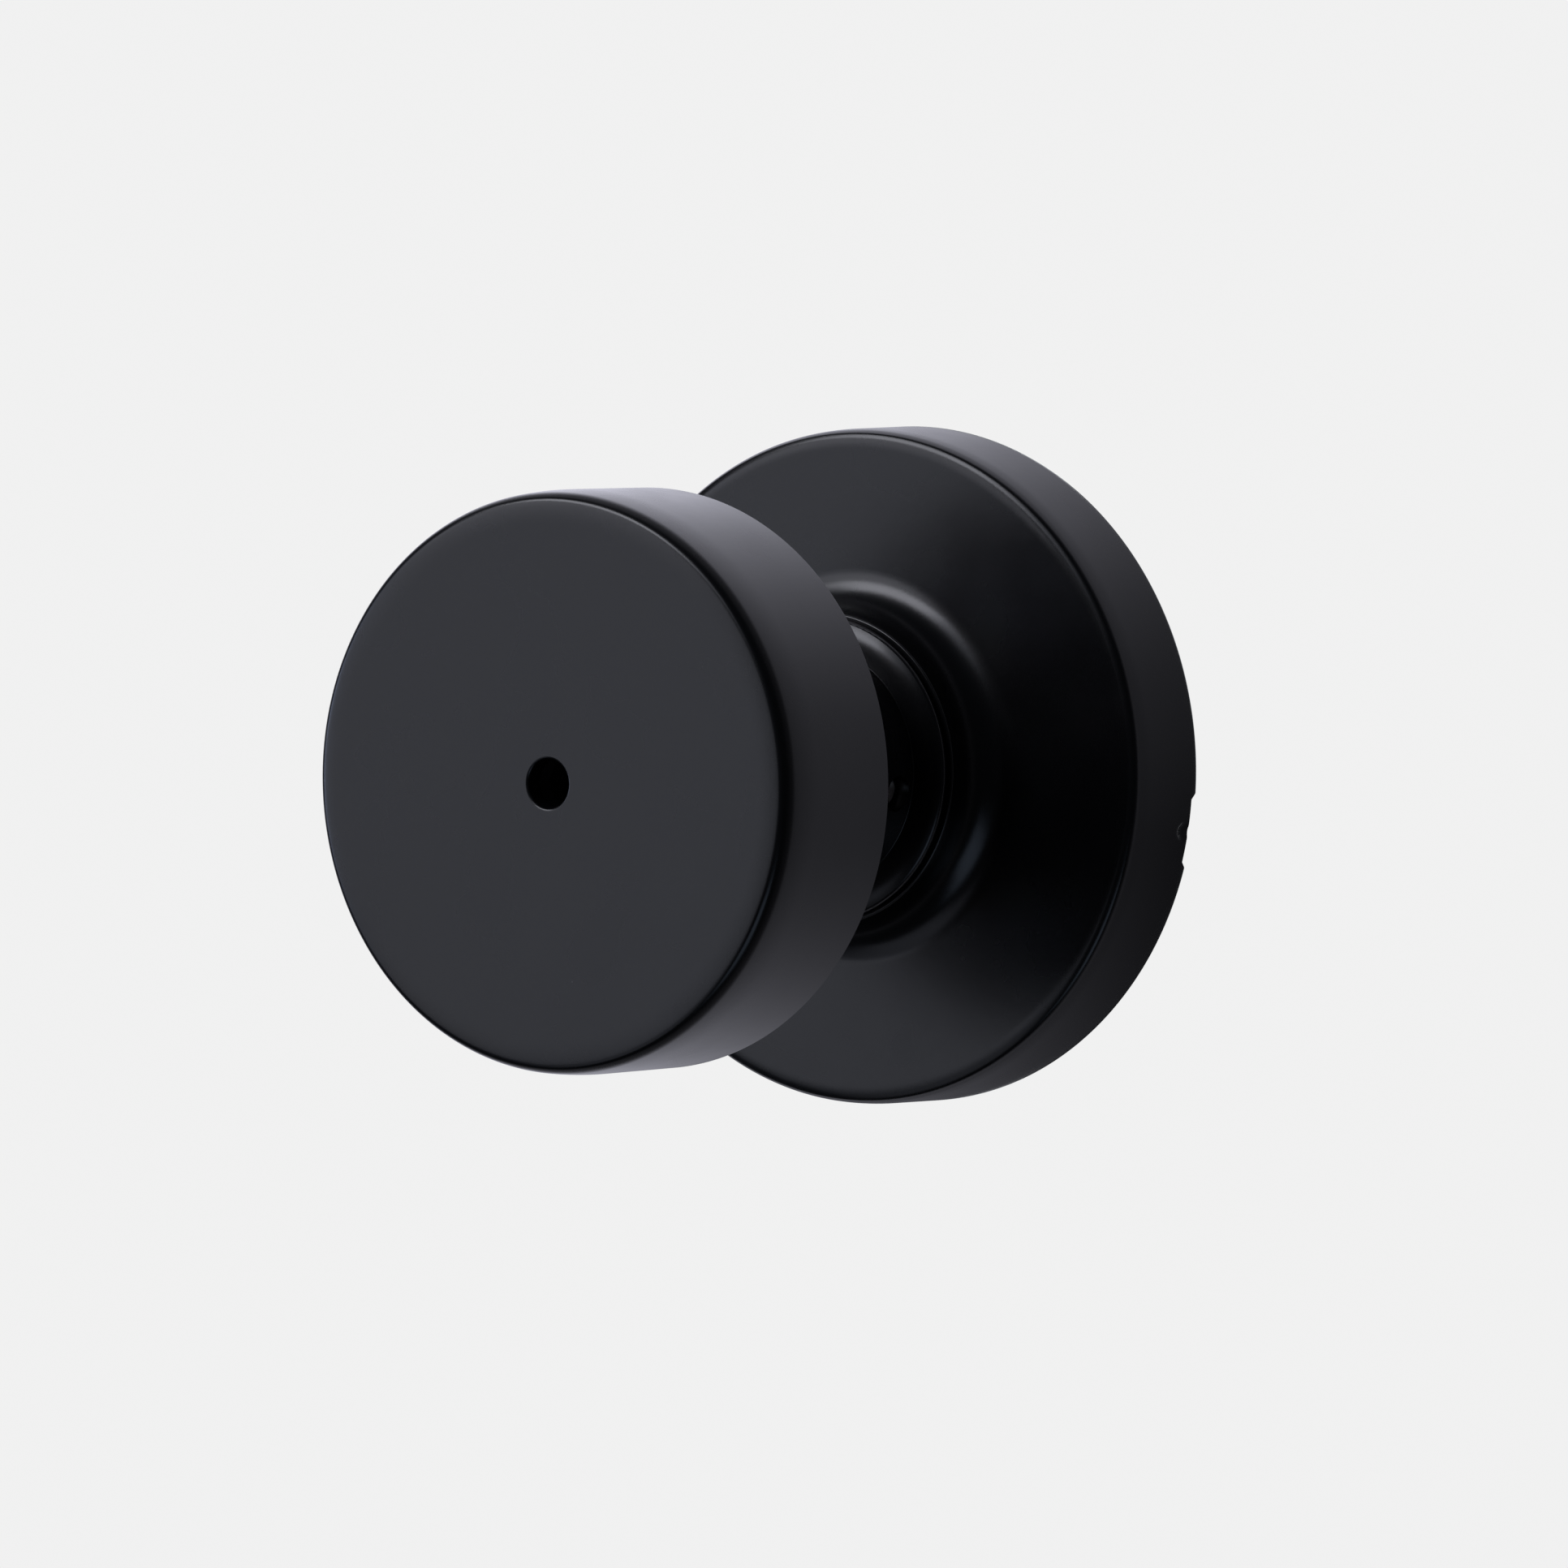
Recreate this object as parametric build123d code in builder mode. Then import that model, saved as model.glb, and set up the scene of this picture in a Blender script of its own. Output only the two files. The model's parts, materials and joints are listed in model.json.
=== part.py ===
"""Outer half of a tubular privacy door knob set: knob, rose, return spring and release.

Millimetres. +Z is up and +Y goes into the door. The origin is where the knob's axis meets the
door's surface, which is also the back of the rose. A "depth" is a distance in front of the
door's surface, towards the hand, so a point at depth d has y = -d. Depths inside the door
are negative.
"""

import os
from math import acos, cos, degrees, radians, sin, sqrt, tan

from build123d import *

# Rose, the round plate against the door
ROSE_BACK_RADIUS = 33.3
ROSE_WALL_TILT = 0.9
ROSE_DEPTH = 10.39
ROSE_EDGE = ((12.0, 8.0), (1.5, 35.0), (0.6, 60.0), (1.5, 82.0), (6.0, 90.0))
ROSE_INNER_FILLET = 0.4
ROSE_SHEET = 1.0
COLLAR_RADIUS = 15.3
COLLAR_DEPTH = 15.7
COLLAR_SWEEP = 4.1
COLLAR_TIP_FILLET = 0.25
NOTCH_WIDTH = 7.4
NOTCH_HEIGHT = 0.65
NOTCH_SLOPE = 0.6
DIMPLE_RADIUS = 1.5
DIMPLE_DEPTH = 0.4
DIMPLE_PLACE = 1.5

# Knob drum
KNOB_FRONT = 61.0
KNOB_REAR = 44.36
KNOB_RADIUS = 27.83
KNOB_EDGE = ((32.0, 6.5), (2.5, 35.0), (0.8, 84.0), (20.0, 90.0))
KNOB_REAR_FILLET = 0.25
KNOB_BORE_RADIUS = 26.0
KNOB_FACE_THICKNESS = 2.0
PINHOLE_RADIUS = 2.35
PINHOLE_FILLET = 0.2

# Back plate and neck of the knob
BACK_PLATE_REAR = 44.8
BACK_PLATE_FRONT = 46.9
BACK_PLATE_THREAD_DEPTH = 1.6
NECK_RADIUS = 11.9
LIP_RADIUS = 14.9
LIP_REAR = 16.1
LIP_FRONT = 17.4
LIP_EDGE = ((0.15, 0.0), (0.5, 58.0), (4.0, 84.0))
LIP_SWEEP = 0.12
TAIL_RADIUS = 13.2
TAIL_REAR = 10.9
NECK_FLARE = 3.6
NECK_FLANGE_RADIUS = 17.5
NECK_FLANGE_FRONT = 48.9
SHANK_SCREW_CIRCLE = 14.7
SHANK_SCREW_ANGLES = (90, 210, 330)
SHANK_SCREW_LENGTH = 3.4

# Drive sleeve, which the knob slides onto
SLEEVE_RADIUS = 9.5
SLEEVE_BORE = 7.9
SLEEVE_REAR = -4.0
SLEEVE_FRONT = 33.5
SLEEVE_FLAT = 8.7
KEY_CLEARANCE = 0.1

# Liner plate and its hub
LINER_RADIUS = 31.5
LINER_THICKNESS = 2.0
SPIGOT_RADIUS = 26.2
SPIGOT_BORE = 24.4
SPIGOT_LENGTH = 5.0
HUB_RADIUS = 12.4
HUB_DEPTH = 6.8
BUSHING_RADIUS = 10.6
BUSHING_REAR = -0.3
BUSHING_FRONT = 7.0
RUNNING_CLEARANCE = 0.06

# Return spring and the pieces that it works between
WIRE_RADIUS = 0.6
COIL_RADIUS = 14.6
COIL_PITCH = 1.32
COIL_REAR = 2.9
LEG_TIP_RADIUS = 19.5
LEG_TIP_ANGLE = 8.0
LUG_HALF_ANGLE = 5.0
CAM_REAR = 7.2
CAM_THICKNESS = 0.8
CAM_RADIUS = 13.4
CAM_FINGER = (16.4, 17.9)
CAM_FINGER_HALF_ANGLE = 11.0
CAM_FINGER_REAR = 2.5
LINER_LUG = (18.5, 20.1)
STOP_ARM_RADIUS = 20.4
STOP_ARM_HALF_ANGLE = 5.5
TURN_LIMIT = 60.0
STOP_GAP_ANGLE = 0.8
STOP_HALF_ANGLE = 4.0
STOP_DEPTH = 1.8
STOP_OVERHANG = 0.8

# Spring housing
HOUSING_RADIUS = 22.3
HOUSING_BORE = 21.3
HOUSING_REAR = 2.0
HOUSING_WALL_REAR = 8.3
HOUSING_FRONT = 9.1
HOUSING_HOLE = 13.4
EAR_CIRCLE = 25.0
EAR_RADIUS = 3.0
EAR_THICKNESS = 1.0
EAR_ANGLES = (30, 150, 270)
HOUSING_SCREW_BITE = 1.8

# Small screws, used in the housing and in the knob
SCREW_RADIUS = 1.25
SCREW_HEAD_RADIUS = 2.3
SCREW_HEAD_HEIGHT = 1.5
SCREW_RECESS = (0.5, 2.6, 0.8)

# Posts for the through-bolts
POST_SPACING = 38.0
POST_RADIUS = 4.2
POST_LENGTH = 27.0
POST_FLANGE_RADIUS = 4.8
POST_FLANGE_THICKNESS = 1.5
POST_SPIGOT_RADIUS = 3.0
POST_STAKE = 0.5
POST_THREAD_RADIUS = 1.65
POST_THREAD_DEPTH = 14.0

# Rose clips
CLIP_ANGLES = (90, 210, 330)
CLIP_RADII = (31.55, 32.05)
CLIP_FOOT_RADIUS = 28.8
CLIP_HALF_ANGLE = 5.0
CLIP_SHEET = 0.5
CLIP_REAR = 0.8
CLIP_FRONT = 6.0

# Retaining ring and thrust washer behind the liner
GROOVE_RADIUS = 8.9
RING_RADIUS = 11.3
RING_REAR = -2.1
RING_THICKNESS = 1.0
RING_GAP_ANGLE = 50.0
WASHER_THICKNESS = 0.8
WASHER_RADIUS = 12.6

# Spindle and its plug
SPINDLE_SIZE = 7.2
SPINDLE_CHAMFER = 0.6
SPINDLE_REACH = 40.0
SPINDLE_FRONT = 5.5
SPINDLE_BORE = 1.7
PLUG_REAR = -3.6
PLUG_FRONT = 6.4
SPINDLE_PIN_RADIUS = 0.75
SPINDLE_PIN_HEIGHT = 2.65
SPINDLE_PIN_DEPTH = 3.0
SPINDLE_PIN_LENGTH = 13.8

# Release rod and what guides it
ROD_RADIUS = 1.5
ROD_TIP = -38.0
ROD_FRONT = 47.2
ROD_HEAD_RADIUS = 2.05
ROD_HEAD_LENGTH = 3.0
ROD_SLOT = (0.8, 1.0)
ROD_CLIP_REAR = 41.2
ROD_CLIP_THICKNESS = 0.8
ROD_CLIP_RADIUS = 3.3
ROD_CLIP_GAP_HALF_ANGLE = 28.0
ROD_GROOVE_RADIUS = 1.15
GUIDE_DISC_REAR = 26.0
GUIDE_FRONT = 33.0
GUIDE_REAR = 14.0
GUIDE_TUBE_RADIUS = 3.1
GUIDE_POCKET_RADIUS = 5.0
GUIDE_POCKET_DEPTH = 2.5
RELEASE_SPRING_RADIUS = 2.6
RELEASE_SPRING_WIRE = 0.25
RELEASE_SPRING_TURNS = 7
KEY_GUIDE_RADIUS = 4.0
KEY_GUIDE_BORE = 2.5
KEY_GUIDE_REAR = 42.5
KEY_GUIDE_FLANGE = 6.5
KEY_GUIDE_MOUTH = 0.9

# Knob catch, which locks the knob onto the sleeve
CATCH_ANGLE = -9.5
CATCH_DEPTH = 19.8
CATCH_RADIUS = 1.5
CATCH_TIP = 10.7
CATCH_SEAT = 6.4
CATCH_FLANGE_RADIUS = 2.5
CATCH_FLANGE_THICKNESS = 0.8
CATCH_SLEEVE_HOLE = 1.58
CATCH_NECK_HOLE = 1.8
CATCH_SPRING_RADIUS = 1.5
CATCH_SPRING_WIRE = 0.2
CATCH_SPRING_TURNS = 3


def at(depth):
    """The plane parallel to the door at this depth, facing the hand."""
    return Plane.XZ.offset(depth)


def pt(radius, depth):
    """A point of a turned outline, which is drawn in the XY plane and spun about Y."""
    return (radius, -depth)


def edge_span(arcs, tilt=0.0):
    """The radius and the depth that a soft edge takes up.

    A soft edge is a row of tangent arcs, each with its radius and the tilt that it ends at, from
    the wall's tilt to the 90 degrees of the face.
    """
    radial = 0.0
    axial = 0.0
    for radius, end in arcs:
        radial += radius * (cos(radians(tilt)) - cos(radians(end)))
        axial += radius * (sin(radians(end)) - sin(radians(tilt)))
        tilt = end
    return radial, axial


def around(radius, angle):
    """The (x, z) place at this radius and at this angle above +X."""
    return (radius * cos(radians(angle)), radius * sin(radians(angle)))


def radial_plane(distance, depth, angle=CATCH_ANGLE):
    """The plane facing away from the knob's axis at this distance, depth and angle."""
    x, z = around(1.0, angle)
    return Plane(
        origin=(distance * x, -depth, distance * z),
        x_dir=(0, -1, 0),
        z_dir=(x, 0, z),
    )


def sector(inner, outer, middle, half_angle):
    """A ring sector to add to the open sketch, centred on an angle."""
    corners = [
        around(inner, middle - half_angle),
        around(outer, middle - half_angle),
        around(outer, middle + half_angle),
        around(inner, middle + half_angle),
    ]
    with BuildSketch(mode=Mode.PRIVATE) as shape:
        with BuildLine():
            Line(corners[0], corners[1])
            ThreePointArc(corners[1], around(outer, middle), corners[2])
            Line(corners[2], corners[3])
            ThreePointArc(corners[3], around(inner, middle), corners[0])
        make_face()
    return shape.sketch


def coil_spring(plane, radius, wire, length, turns, leg=0):
    """A coil standing on a plane, its first turn starting along the plane's x direction.

    With a leg length, a straight leg leaves each end of the coil at a tangent.
    """
    with BuildPart() as spring:
        with BuildLine() as path:
            helix = Helix(pitch=length / turns, height=length, radius=radius)
            if leg:
                Line(helix @ 0 - (helix % 0) * leg, helix @ 0)
                Line(helix @ 1, helix @ 1 + (helix % 1) * leg)
        wire_line = path.wires()[0]
        with BuildSketch(Plane(origin=wire_line @ 0, z_dir=wire_line % 0)):
            Circle(wire)
        sweep(path=wire_line)
    return plane.location * spring.part


def save(part, label):
    """Names a finished piece and writes its file."""
    part.label = label
    export_step(part, f"parts/{label}.step")


os.makedirs("parts", exist_ok=True)

# ---------------------------------------------------------------- rose, fixed to the door

rose_edge_start = ROSE_DEPTH - edge_span(ROSE_EDGE, ROSE_WALL_TILT)[1]
rose_edge_radius = ROSE_BACK_RADIUS - rose_edge_start * tan(radians(ROSE_WALL_TILT))
with BuildPart() as rose_cover:
    with BuildSketch(Plane.XY):
        with BuildLine():
            run = Line(pt(ROSE_BACK_RADIUS, 0), pt(rose_edge_radius, rose_edge_start))
            tilt = ROSE_WALL_TILT
            for radius, end in ROSE_EDGE:
                run = JernArc(run @ 1, run % 1, radius, tilt - end)
                tilt = end
            FilletPolyline(
                run @ 1,
                pt(COLLAR_RADIUS + 0.1, ROSE_DEPTH),
                pt(COLLAR_RADIUS, COLLAR_DEPTH),
                pt(COLLAR_RADIUS - ROSE_SHEET, COLLAR_DEPTH),
                radius=(COLLAR_SWEEP, COLLAR_TIP_FILLET),
            )
            FilletPolyline(
                pt(COLLAR_RADIUS - ROSE_SHEET, COLLAR_DEPTH),
                pt(COLLAR_RADIUS - ROSE_SHEET, ROSE_DEPTH - ROSE_SHEET),
                pt(rose_edge_radius - ROSE_SHEET, ROSE_DEPTH - ROSE_SHEET),
                pt(ROSE_BACK_RADIUS - ROSE_SHEET, 0),
                radius=(COLLAR_SWEEP + ROSE_SHEET, ROSE_INNER_FILLET),
            )
            Line(pt(ROSE_BACK_RADIUS - ROSE_SHEET, 0), pt(ROSE_BACK_RADIUS, 0))
        make_face()
    revolve(axis=Axis.Y)
    # Pry notch in the rear edge of the rim, in line with the knob catch's hole
    with BuildSketch(radial_plane(ROSE_BACK_RADIUS - 2, 0)):
        Polygon(
            (-1, -NOTCH_WIDTH / 2),
            (0, -NOTCH_WIDTH / 2),
            (NOTCH_HEIGHT, -NOTCH_WIDTH / 2 + NOTCH_SLOPE),
            (NOTCH_HEIGHT, NOTCH_WIDTH / 2 - NOTCH_SLOPE),
            (0, NOTCH_WIDTH / 2),
            (-1, NOTCH_WIDTH / 2),
            align=None,
        )
    extrude(amount=4, mode=Mode.SUBTRACT)
    # Dimples pressed into the rim, where the rose snaps onto the liner
    dimple_centre = ROSE_BACK_RADIUS + DIMPLE_RADIUS - DIMPLE_DEPTH
    for angle in (CATCH_ANGLE, CATCH_ANGLE + 120, CATCH_ANGLE + 240):
        with Locations(radial_plane(dimple_centre, DIMPLE_PLACE, angle)):
            Sphere(DIMPLE_RADIUS, mode=Mode.SUBTRACT)
save(rose_cover.part, "rose_cover")

with BuildPart() as rose_liner:
    with BuildSketch(at(0)):
        Circle(LINER_RADIUS)
        with GridLocations(0, POST_SPACING, 1, 2):
            Circle(POST_SPIGOT_RADIUS, mode=Mode.SUBTRACT)
        with PolarLocations(EAR_CIRCLE, len(EAR_ANGLES), start_angle=EAR_ANGLES[0]):
            Circle(SCREW_RADIUS, mode=Mode.SUBTRACT)
    extrude(amount=LINER_THICKNESS)
    # Countersinks that the staked ends of the posts spread into
    post_mouths = rose_liner.edges().filter_by(GeomType.CIRCLE).filter_by(
        lambda edge: abs(edge.radius - POST_SPIGOT_RADIUS) < 0.01
        and abs(edge.center().Y + LINER_THICKNESS) < 0.01
    )
    chamfer(post_mouths, POST_STAKE)
    # Spigot that centres the set in the door's bore
    with BuildSketch(at(0)):
        Circle(SPIGOT_RADIUS)
        Circle(SPIGOT_BORE, mode=Mode.SUBTRACT)
    extrude(amount=-SPIGOT_LENGTH)
    # Hub around the bushing, and the lug that holds the idle leg of the return spring
    with BuildSketch(at(LINER_THICKNESS)):
        Circle(HUB_RADIUS)
    extrude(amount=HUB_DEPTH - LINER_THICKNESS)
    with BuildSketch(at(LINER_THICKNESS)):
        add(sector(*LINER_LUG, 180, LUG_HALF_ANGLE))
    extrude(amount=HUB_DEPTH - LINER_THICKNESS)
    with BuildSketch(at(0)):
        Circle(BUSHING_RADIUS)
    extrude(amount=HUB_DEPTH, mode=Mode.SUBTRACT)
save(rose_liner.part, "rose_liner")

with BuildPart() as spindle_bushing:
    with BuildSketch(at(BUSHING_REAR)):
        Circle(BUSHING_RADIUS)
        Circle(SLEEVE_RADIUS + RUNNING_CLEARANCE, mode=Mode.SUBTRACT)
    extrude(amount=BUSHING_FRONT - BUSHING_REAR)
    chamfer(spindle_bushing.edges().filter_by(GeomType.CIRCLE).group_by(Axis.Y)[-1], 0.2)
save(spindle_bushing.part, "spindle_bushing")

for label, height in (("upper_post", POST_SPACING / 2), ("lower_post", -POST_SPACING / 2)):
    with BuildPart() as post:
        with BuildSketch(at(0)):
            with Locations((0, height)):
                Circle(POST_RADIUS)
        extrude(amount=-POST_LENGTH)
        chamfer(post.edges().filter_by(GeomType.CIRCLE).sort_by(Axis.Y)[-1], 0.5)
        with BuildSketch(at(0)):
            with Locations((0, height)):
                Circle(POST_FLANGE_RADIUS)
        extrude(amount=-POST_FLANGE_THICKNESS)
        with BuildSketch(at(0)):
            with Locations((0, height)):
                Circle(POST_SPIGOT_RADIUS)
        extrude(amount=LINER_THICKNESS)
        # Staked head, flush with the liner
        with BuildSketch(at(LINER_THICKNESS - POST_STAKE)) as stake_root:
            with Locations((0, height)):
                Circle(POST_SPIGOT_RADIUS)
        with BuildSketch(at(LINER_THICKNESS)) as stake_head:
            with Locations((0, height)):
                Circle(POST_SPIGOT_RADIUS + POST_STAKE)
        loft()
        with BuildSketch(at(-POST_LENGTH)):
            with Locations((0, height)):
                Circle(POST_THREAD_RADIUS)
        extrude(amount=POST_THREAD_DEPTH, mode=Mode.SUBTRACT)
    save(post.part, label)

with BuildPart() as spring_housing:
    with BuildSketch(at(HOUSING_REAR)):
        Circle(HOUSING_RADIUS)
    extrude(amount=HOUSING_FRONT - HOUSING_REAR)
    fillet(spring_housing.edges().filter_by(GeomType.CIRCLE).sort_by(Axis.Y)[0], 0.6)
    with BuildSketch(at(HOUSING_REAR)):
        with PolarLocations(EAR_CIRCLE, len(EAR_ANGLES), start_angle=EAR_ANGLES[0]):
            Circle(EAR_RADIUS)
        for angle in EAR_ANGLES:
            add(sector(HOUSING_BORE, EAR_CIRCLE, angle, degrees(EAR_RADIUS / EAR_CIRCLE)))
    extrude(amount=EAR_THICKNESS)
    with BuildSketch(at(HOUSING_REAR)):
        Circle(HOUSING_BORE)
    extrude(amount=HOUSING_WALL_REAR - HOUSING_REAR, mode=Mode.SUBTRACT)
    with BuildSketch(at(HOUSING_WALL_REAR)):
        Circle(HOUSING_HOLE)
    extrude(amount=HOUSING_FRONT - HOUSING_WALL_REAR, mode=Mode.SUBTRACT)
    with BuildSketch(at(HOUSING_REAR)):
        with PolarLocations(EAR_CIRCLE, len(EAR_ANGLES), start_angle=EAR_ANGLES[0]):
            Circle(SCREW_RADIUS)
    extrude(amount=EAR_THICKNESS, mode=Mode.SUBTRACT)
    # Stops for the cam's arm at each end of the turn
    stop_start = TURN_LIMIT + STOP_ARM_HALF_ANGLE + STOP_GAP_ANGLE
    with BuildSketch(at(CAM_REAR - STOP_OVERHANG)):
        for side in (-1, 1):
            stop_middle = side * (stop_start + STOP_HALF_ANGLE)
            add(sector(STOP_ARM_RADIUS - STOP_DEPTH, HOUSING_BORE + 0.2, stop_middle, STOP_HALF_ANGLE))
    extrude(amount=HOUSING_WALL_REAR - CAM_REAR + STOP_OVERHANG)
save(spring_housing.part, "spring_housing")


def screws(plane, circle, angles, length):
    """Pan-head screws with crossed recesses, their heads' undersides on a plane."""
    with BuildPart() as group:
        with BuildSketch(plane):
            with PolarLocations(circle, len(angles), start_angle=angles[0]):
                Circle(SCREW_HEAD_RADIUS)
        extrude(amount=SCREW_HEAD_HEIGHT)
        fillet(group.edges().filter_by(GeomType.CIRCLE).group_by(Axis.Y)[0], 0.6)
        with BuildSketch(plane):
            with PolarLocations(circle, len(angles), start_angle=angles[0]):
                Circle(SCREW_RADIUS)
        extrude(amount=-length)
        width, span, depth = SCREW_RECESS
        with BuildSketch(plane.offset(SCREW_HEAD_HEIGHT)):
            with PolarLocations(circle, len(angles), start_angle=angles[0]):
                Rectangle(width, span)
                Rectangle(span, width)
        extrude(amount=-depth, mode=Mode.SUBTRACT)
    return group.part


housing_screw_length = EAR_THICKNESS + HOUSING_SCREW_BITE
save(
    screws(at(HOUSING_REAR + EAR_THICKNESS), EAR_CIRCLE, EAR_ANGLES, housing_screw_length),
    "housing_screws",
)

with BuildPart() as rose_clips:
    for angle in CLIP_ANGLES:
        with BuildSketch(at(LINER_THICKNESS)):
            add(sector(CLIP_FOOT_RADIUS, CLIP_RADII[1], angle, CLIP_HALF_ANGLE))
        extrude(amount=CLIP_SHEET)
        with BuildSketch(at(CLIP_REAR)):
            add(sector(*CLIP_RADII, angle, CLIP_HALF_ANGLE))
        extrude(amount=CLIP_FRONT - CLIP_REAR)
save(rose_clips.part, "rose_clips")

# Return spring: a coil with two straight legs, one each side of the lug and the cam's finger
leg_length = sqrt(LEG_TIP_RADIUS**2 - COIL_RADIUS**2)
leg_sweep = degrees(acos(COIL_RADIUS / LEG_TIP_RADIUS))
coil_start = 180 + LEG_TIP_ANGLE + leg_sweep
coil_turns = 3 - 2 * (LEG_TIP_ANGLE + leg_sweep) / 360
coil_x, coil_z = around(1.0, coil_start)
coil_plane = Plane(origin=(0, -COIL_REAR, 0), x_dir=(coil_x, 0, coil_z), z_dir=(0, -1, 0))
save(
    coil_spring(
        coil_plane, COIL_RADIUS, WIRE_RADIUS, COIL_PITCH * coil_turns, coil_turns, leg_length
    ),
    "return_spring",
)

with BuildPart() as thrust_washer:
    with BuildSketch(at(-WASHER_THICKNESS)):
        Circle(WASHER_RADIUS)
        Circle(BUSHING_RADIUS + 0.2, mode=Mode.SUBTRACT)
    extrude(amount=WASHER_THICKNESS)
save(thrust_washer.part, "thrust_washer")

# ------------------------------------------------------------------- what turns with the knob

knob_edge_start = KNOB_FRONT - edge_span(KNOB_EDGE)[1]
with BuildPart() as knob_shell:
    with BuildSketch(Plane.XY):
        with BuildLine():
            run = FilletPolyline(
                pt(KNOB_BORE_RADIUS, KNOB_REAR),
                pt(KNOB_RADIUS, KNOB_REAR),
                pt(KNOB_RADIUS, knob_edge_start),
                radius=KNOB_REAR_FILLET,
            )
            tilt = 0.0
            for radius, end in KNOB_EDGE:
                run = JernArc(run @ 1, run % 1, radius, tilt - end)
                tilt = end
            FilletPolyline(
                run @ 1,
                pt(PINHOLE_RADIUS, KNOB_FRONT),
                pt(PINHOLE_RADIUS, KNOB_FRONT - KNOB_FACE_THICKNESS),
                radius=PINHOLE_FILLET,
            )
            Polyline(
                pt(PINHOLE_RADIUS, KNOB_FRONT - KNOB_FACE_THICKNESS),
                pt(KNOB_BORE_RADIUS, KNOB_FRONT - KNOB_FACE_THICKNESS),
                pt(KNOB_BORE_RADIUS, KNOB_REAR),
            )
        make_face()
    revolve(axis=Axis.Y)
save(knob_shell.part, "knob_shell")

with BuildPart() as knob_back_plate:
    with BuildSketch(at(BACK_PLATE_REAR)):
        Circle(KNOB_BORE_RADIUS)
        Circle(NECK_RADIUS, mode=Mode.SUBTRACT)
    extrude(amount=BACK_PLATE_FRONT - BACK_PLATE_REAR)
    # Blind threaded holes for the screws that hold the neck
    with BuildSketch(at(BACK_PLATE_FRONT)):
        with PolarLocations(SHANK_SCREW_CIRCLE, 3, start_angle=SHANK_SCREW_ANGLES[0]):
            Circle(SCREW_RADIUS)
    extrude(amount=-BACK_PLATE_THREAD_DEPTH, mode=Mode.SUBTRACT)
save(knob_back_plate.part, "knob_back_plate")

with BuildPart() as knob_shank:
    with BuildSketch(Plane.XY):
        with BuildLine():
            run = Polyline(
                pt(SLEEVE_BORE, NECK_FLANGE_FRONT),
                pt(SLEEVE_BORE, TAIL_REAR),
                pt(TAIL_RADIUS, TAIL_REAR),
                pt(TAIL_RADIUS, LIP_REAR),
                pt(LIP_RADIUS - LIP_EDGE[0][0], LIP_REAR),
            )
            # Domed lip, which turns from its flat rear to the slope that meets the neck
            tilt = -90.0
            for radius, end in LIP_EDGE:
                run = JernArc(run @ 1, run % 1, radius, tilt - end)
                tilt = end
            FilletPolyline(
                run @ 1,
                pt(NECK_RADIUS, LIP_FRONT),
                pt(NECK_RADIUS, BACK_PLATE_REAR),
                radius=LIP_SWEEP,
            )
            Polyline(
                pt(NECK_RADIUS, BACK_PLATE_REAR),
                pt(NECK_RADIUS, BACK_PLATE_FRONT),
                pt(NECK_FLANGE_RADIUS, BACK_PLATE_FRONT),
                pt(NECK_FLANGE_RADIUS, NECK_FLANGE_FRONT),
                pt(SLEEVE_BORE, NECK_FLANGE_FRONT),
            )
        make_face()
    revolve(axis=Axis.Y)
    # Flare where the neck meets the back plate
    with BuildSketch(Plane.XY):
        with BuildLine():
            Line(pt(NECK_RADIUS - 1, BACK_PLATE_REAR), pt(NECK_RADIUS + NECK_FLARE, BACK_PLATE_REAR))
            RadiusArc(
                pt(NECK_RADIUS + NECK_FLARE, BACK_PLATE_REAR),
                pt(NECK_RADIUS, BACK_PLATE_REAR - NECK_FLARE),
                -NECK_FLARE,
            )
            Line(pt(NECK_RADIUS, BACK_PLATE_REAR - NECK_FLARE),
                 pt(NECK_RADIUS - 1, BACK_PLATE_REAR - NECK_FLARE))
            Line(pt(NECK_RADIUS - 1, BACK_PLATE_REAR - NECK_FLARE),
                 pt(NECK_RADIUS - 1, BACK_PLATE_REAR))
        make_face()
    revolve(axis=Axis.Y)
    # Bore with two flats, which key the knob to the drive sleeve
    with BuildSketch(at(TAIL_REAR)):
        Circle(SLEEVE_RADIUS + KEY_CLEARANCE)
        Rectangle(2 * SLEEVE_RADIUS + 1, 2 * (SLEEVE_FLAT + KEY_CLEARANCE), mode=Mode.INTERSECT)
    extrude(amount=SLEEVE_FRONT - TAIL_REAR + 0.5, mode=Mode.SUBTRACT)
    with BuildSketch(radial_plane(SLEEVE_BORE, CATCH_DEPTH)):
        Circle(CATCH_NECK_HOLE)
    extrude(amount=NECK_RADIUS, mode=Mode.SUBTRACT)
    with BuildSketch(at(NECK_FLANGE_FRONT)):
        with PolarLocations(SHANK_SCREW_CIRCLE, 3, start_angle=SHANK_SCREW_ANGLES[0]):
            Circle(SCREW_RADIUS)
    extrude(amount=BACK_PLATE_FRONT - NECK_FLANGE_FRONT, mode=Mode.SUBTRACT)
save(knob_shank.part, "knob_shank")

save(
    screws(at(NECK_FLANGE_FRONT), SHANK_SCREW_CIRCLE, SHANK_SCREW_ANGLES, SHANK_SCREW_LENGTH),
    "shank_screws",
)

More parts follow.
